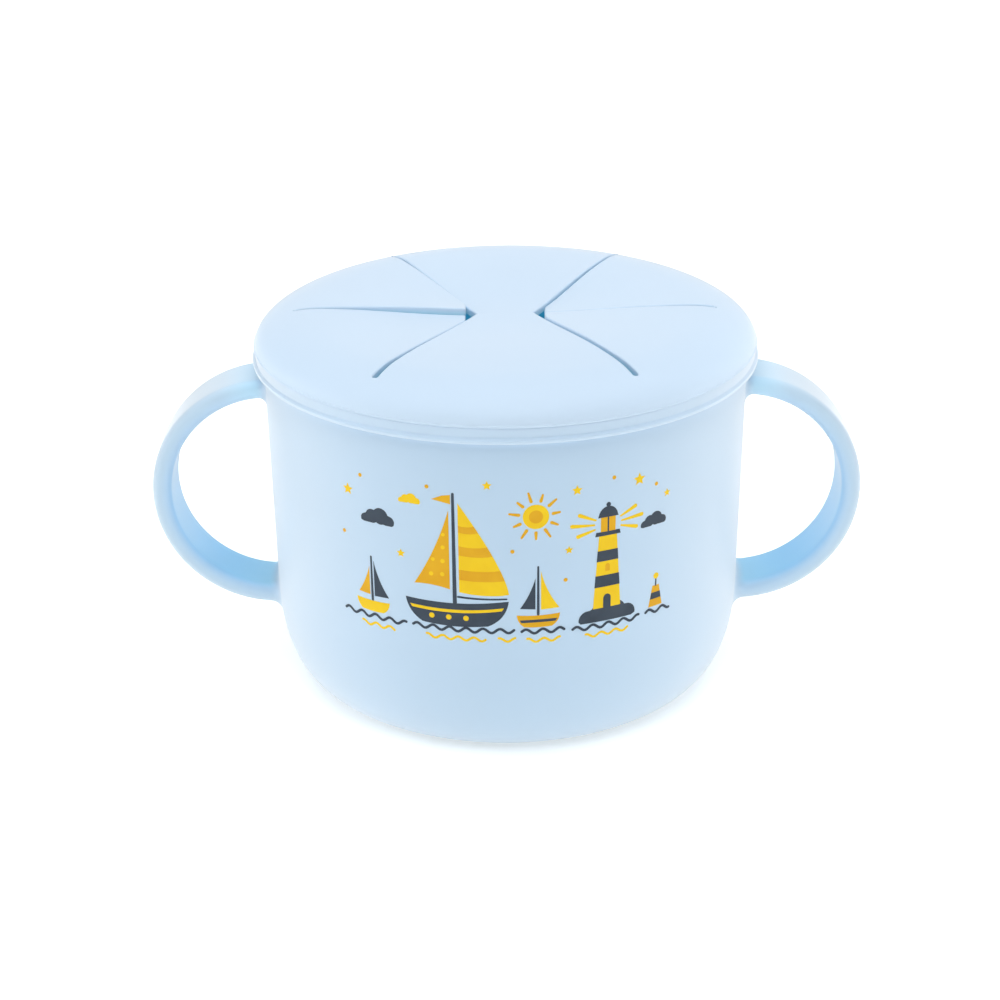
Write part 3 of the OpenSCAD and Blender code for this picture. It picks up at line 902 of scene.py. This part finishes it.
def soft_sector(flap, A, B, TA, TB, gA, gB, hA, hB, mA=0.0, mB=0.0, seam=False):
    """A: slit end at the start of the root, B: slit end at its end, TA, TB: the flap's free corners,
    hA, hB: how far those corners sit above or below the plain dome, mA, mB: the same half-way along."""
    A, B, TA, TB = (np.array(p, float) for p in (A, B, TA, TB))
    aA, aB = math.atan2(A[1], A[0]), math.atan2(B[1], B[0])
    if aB < aA:
        aB += 2 * math.pi
    RA, RB = np.linalg.norm(A), np.linalg.norm(B)
    uA, uB = (TA - A) / np.linalg.norm(TA - A), (TB - B) / np.linalg.norm(TB - B)
    LA, LB = np.linalg.norm(TA - A), np.linalg.norm(TB - B)
    tipdir = (TB - TA) / np.linalg.norm(TB - TA)

    def side_n(u):
        nrm = np.array([-u[1], u[0]])
        mid = (A + B + TA + TB) / 4
        return nrm
    nA, nB = side_n(uA), side_n(uB)
    cen = (A + B + TA + TB) / 4
    if nA @ (cen - A) < 0:
        nA = -nA
    if nB @ (cen - B) < 0:
        nB = -nB
    near = [0.0, 0.025, 0.09, 0.2, FILLET, 0.5]
    K = len(near)
    # rows from the root to the free edge, in mm along the mean line
    L = (LA + LB) / 2
    rows_t = [0.0, 0.05, 0.12, 0.2, 0.3, 0.45, 0.65, 0.95, 1.4, 2.0]
    tail = [L - 0.6] + [L - x for x in reversed(near[:-1])]
    k = int((L - 3.4) / 1.05)
    rows_t += list(np.linspace(3.0, L - 1.4, k)) + tail
    rows_t = [x / L for x in rows_t]
    NC = 26

    def fractions(width):
        e = [d / width for d in near]
        mid = list(np.linspace(e[-1], 1 - e[-1], NC + 1))[1:-1]
        return e + mid + [1 - x for x in reversed(e)]

    cols = len(fractions(40.0))
    root_w = np.linalg.norm(B - A)
    fr0 = fractions(root_w)
    angs = [aA + (aB - aA) * s for s in fr0]
    Rs = [RA + (RB - RA) * s for s in fr0]

    top, bot = [], []          # grids [row][col] of points
    tn = []                    # top normals, or None for the rounded edges
    for t in rows_t:
        e0 = A + (TA - A) * t
        e1 = B + (TB - B) * t
        width = np.linalg.norm(e1 - e0)
        fr = fractions(width)
        ga, gb = gA(t * LA, LA), gB(t * LB, LB)
        fade = smooth01(t * L / 0.6)
        rt, rb, rn = [], [], []
        for j, s in enumerate(fr):
            aa = aA + (aB - aA) * s
            rr = RA + (RB - RA) * s
            q = np.array([rr * math.cos(aa), rr * math.sin(aa)])
            p = q * (1 - t) + (TA + (TB - TA) * s) * t
            p = p + nA * ga * (1 - s) ** 2 + nB * gb * s ** 2
            r = np.linalg.norm(p)
            sag = (hA * (1 - s) + hB * s) * smooth01(t / 0.9) + (mA * (1 - s) + mB * s) * 16 * (t * (1 - t)) ** 2
            z = soft_z(r) + sag
            dA, dB, dT = s * width, (1 - s) * width, (1 - t) * L
            drop = max(edge_drop(dA), edge_drop(dB)) * fade
            drop = max(drop, edge_drop(dT, 0.02 if seam else FILLET))
            rt.append((p[0], p[1], WALL_H + z - drop))
            rb.append((p[0], p[1], WALL_H + z - SOFT_T))
            rn.append((p[0], p[1], WALL_H + z))
        top.append(rt)
        bot.append(rb)
        tn.append(rn)
    # outer rows from the root to the skirt
    q_steps = 20
    outer, outer_n = [], []
    for i in range(1, q_steps):
        q = i / q_steps
        row, nr = [], []
        for a, R in zip(angs, Rs):
            aR = math.asin((R - CROWN_R) / (SOFT_R - CROWN_R)) / (math.pi / 2)
            u = math.sin(math.pi / 2 * (aR + (1 - aR) * q))
            r = CROWN_R + (SOFT_R - CROWN_R) * u
            z = soft_z(r)
            if z < 3.62:
                break
            row.append((r * math.cos(a), r * math.sin(a), WALL_H + z))
            # slope along the curve, by its angle-like parameter so that the steep end stays exact
            a1 = aR + (1 - aR) * q
            u0, u1 = math.sin(math.pi / 2 * (a1 - 1e-3)), math.sin(math.pi / 2 * min(1, a1 + 1e-3))
            r0, r1 = CROWN_R + (SOFT_R - CROWN_R) * u0, CROWN_R + (SOFT_R - CROWN_R) * u1
            dz, dr = soft_z(r1) - soft_z(r0), r1 - r0
            ln = math.hypot(dz, dr)
            nr.append((-dz / ln * math.cos(a), -dz / ln * math.sin(a), dr / ln))
        if len(row) < len(angs):
            break
        outer.append(row)
        outer_n.append(nr)
    # a fine rolled bead where the soft top meets the ring
    bead_prof = [(SOFT_R - 0.01, 3.52, 18)] + [
        (SOFT_R - 0.09 + 0.24 * math.cos(math.radians(k)), 3.14 + 0.24 * math.sin(math.radians(k)), k)
        for k in (62, 44, 26, 8, -10, -28, -46)]
    for r, z, k in bead_prof:
        ck, sk = math.cos(math.radians(k)), math.sin(math.radians(k))
        outer.append([(r * math.cos(a), r * math.sin(a), WALL_H + z) for a in angs])
        outer_n.append([(ck * math.cos(a), ck * math.sin(a), sk) for a in angs])
    skirt = [[((SOFT_R - 0.1) * math.cos(a), (SOFT_R - 0.1) * math.sin(a), WALL_H + BAND_H + 0.03) for a in angs]]
    z0 = WALL_H
    under = []
    for r, z in ((BORE_R + 0.55, BAND_H + 0.0), (BORE_R + 0.55, BAND_H + 1.8), (BORE_R, BAND_H + 1.8), (BORE_R, RIM_H + 0.2),
                 (SEAL_R, RIM_H + 0.2)):
        under.append([(r * math.cos(a), r * math.sin(a), z0 + z) for a in angs])
    row = []
    for a, R in zip(angs, Rs):
        r = SEAL_R - 0.05
        row.append((r * math.cos(a), r * math.sin(a), z0 + soft_z(r) - SOFT_T + 0.1))
    under.append(row)
    row = []
    for a, R in zip(angs, Rs):
        r = (SEAL_R - 0.3 + R) / 2
        row.append((r * math.cos(a), r * math.sin(a), z0 + soft_z(r) - SOFT_T))
    under.append(row)

    # one loop of rows: free edge -> root -> skirt -> underside -> root -> free edge
    T = top[::-1]                       # free edge first, root last
    loop = T + outer + skirt + under + bot
    R_, C = len(loop), cols
    v = [p for row in loop for p in row]
    f, fn, fm = [], [], []
    nt_rows = len(T)

    def idx(i, j):
        return (i % R_) * C + j

    # normals of the smooth top, by differences of the unrounded surface
    TN = np.array(tn[::-1])
    dj = np.gradient(TN, axis=1)
    di = np.gradient(TN, axis=0)
    nn = np.cross(dj, di)
    nn /= np.linalg.norm(nn, axis=2)[:, :, None] + 1e-12
    nn *= np.sign(nn[:, :, 2:3])
    # the root row itself lies on the plain dome
    vnorm = {}
    for i in range(nt_rows):
        for j in range(C):
            free = i < K - 1
            edge = (j < K - 1 or j > C - K) and i < nt_rows - 6
            if not free and not edge:
                if i >= nt_rows - 8:
                    x, y, _ = TN[i, j]
                    r = math.hypot(x, y)
                    s = (soft_z(r + 0.01) - soft_z(r - 0.01)) / 0.02
                    ln = math.hypot(1, s)
                    vnorm[idx(i, j)] = (-s * x / r / ln, -s * y / r / ln, 1 / ln)
                else:
                    vnorm[idx(i, j)] = tuple(nn[i, j])
    for k2, nr in enumerate(outer_n):
        for j in range(C):
            vnorm[idx(nt_rows + k2, j)] = nr[j]
    for j in range(C):
        a = angs[j]
        vnorm[idx(nt_rows + len(outer), j)] = (math.cos(a), math.sin(a), 0.0)
    last_top = nt_rows + len(outer)      # index of the skirt row
    for i in range(R_):
        for j in range(C - 1):
            f.append((idx(i, j), idx(i, j + 1), idx(i + 1, j + 1), idx(i + 1, j)))
            fn.append(i < last_top)
            fm.append(int(i == R_ - 1))
    # end walls: along each slit top row i meets bottom row i; beyond it a flat cut
    bot0 = nt_rows + len(outer) + len(skirt) + len(under)
    for j in (0, C - 1):
        for i in range(nt_rows - 1):
            a, b = i, i + 1                             # top rows, free edge first
            c, d = bot0 + (nt_rows - 1 - i), bot0 + (nt_rows - 2 - i)
            f.append((idx(a, j), idx(b, j), idx(d, j), idx(c, j)))
            fn.append(False)
            fm.append(1)
        f.append(tuple(idx(i, j) for i in range(nt_rows - 1, bot0 + 1)))
        fn.append(False)
        fm.append(0)
    name = "soft_" + flap
    o = link(name, v, f, SOFT, sharp=None)
    me = o.data
    # the "cut" value: 1 at the lower corners of the slit walls, 0 at their top, for the painted slit shade and glow
    depth = np.zeros(len(me.loops), np.float32)
    for p, wall in zip(me.polygons, fm):
        for k3, vi in zip(p.loop_indices, p.vertices):
            depth[k3] = float(wall and vi // C >= last_top)
    me.attributes.new("cut", "FLOAT", "CORNER").data.foreach_set("value", depth)
    me.set_sharp_from_angle(angle=math.radians(42))
    loops = np.zeros((len(me.loops), 3), np.float32)
    li = 0
    for p, is_top in zip(me.polygons, fn):
        for k3, vi in zip(p.loop_indices, p.vertices):
            if is_top and vi in vnorm:
                loops[k3] = vnorm[vi]
    me.normals_split_custom_set(loops.tolist())
    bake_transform(o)
    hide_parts(flap, "lid_membrane")
    return o


def gap(w_tip, w_mid, w_end):
    return lambda l, total: slit_gap(l, total, w_tip, w_mid, w_end)


slant = (TIP_X - CROSS_X) / TIP_Y
BY = (BLUNT_X - CROSS_X) / slant
g_lf, g_rf = gap(0.54, 0.26, 0.12), gap(0.54, 0.31, 0.14)
g_lb, g_rb = gap(0.26, 0.15, 0.03), gap(0.26, 0.20, 0.16)
g_l, g_r = gap(0.22, 0.09, 0.05), gap(0.32, 0.17, 0.10)
SEAM = 0.012

soft_sector("flap_front", (-TIP_X, -TIP_Y), (TIP_X, -TIP_Y), (-CROSS_X, -SEAM), (CROSS_X, -SEAM), g_lf, g_rf,
            -0.08, 0.13, 0.0, 0.26, seam=True)
soft_sector("flap_right_front", (TIP_X, -TIP_Y), (SIDE_X, 0), (BLUNT_X, -BY), (BLUNT_X, 0), g_rf, g_r,
            0.45, 0.06, 0.26, 0.0)
soft_sector("flap_right_back", (SIDE_X, 0), (TIP_X, TIP_Y), (BLUNT_X, 0), (BLUNT_X, BY), g_r, g_rb,
            -0.04, -0.35, 0.0, 0.24)
soft_sector("flap_back", (TIP_X, TIP_Y), (-TIP_X, TIP_Y), (CROSS_X, SEAM), (-CROSS_X, SEAM), g_rb, g_lb,
            0.10, -0.11, 0.28, 0.0, seam=True)
soft_sector("flap_left_back", (-TIP_X, TIP_Y), (-SIDE_X, 0), (-BLUNT_X, BY), (-BLUNT_X, 0), g_lb, g_l,
            0.34, 0.85)
soft_sector("flap_left_front", (-SIDE_X, 0), (-TIP_X, -TIP_Y), (-BLUNT_X, 0), (-BLUNT_X, -BY), g_l, g_lf,
            -0.42, -0.24)
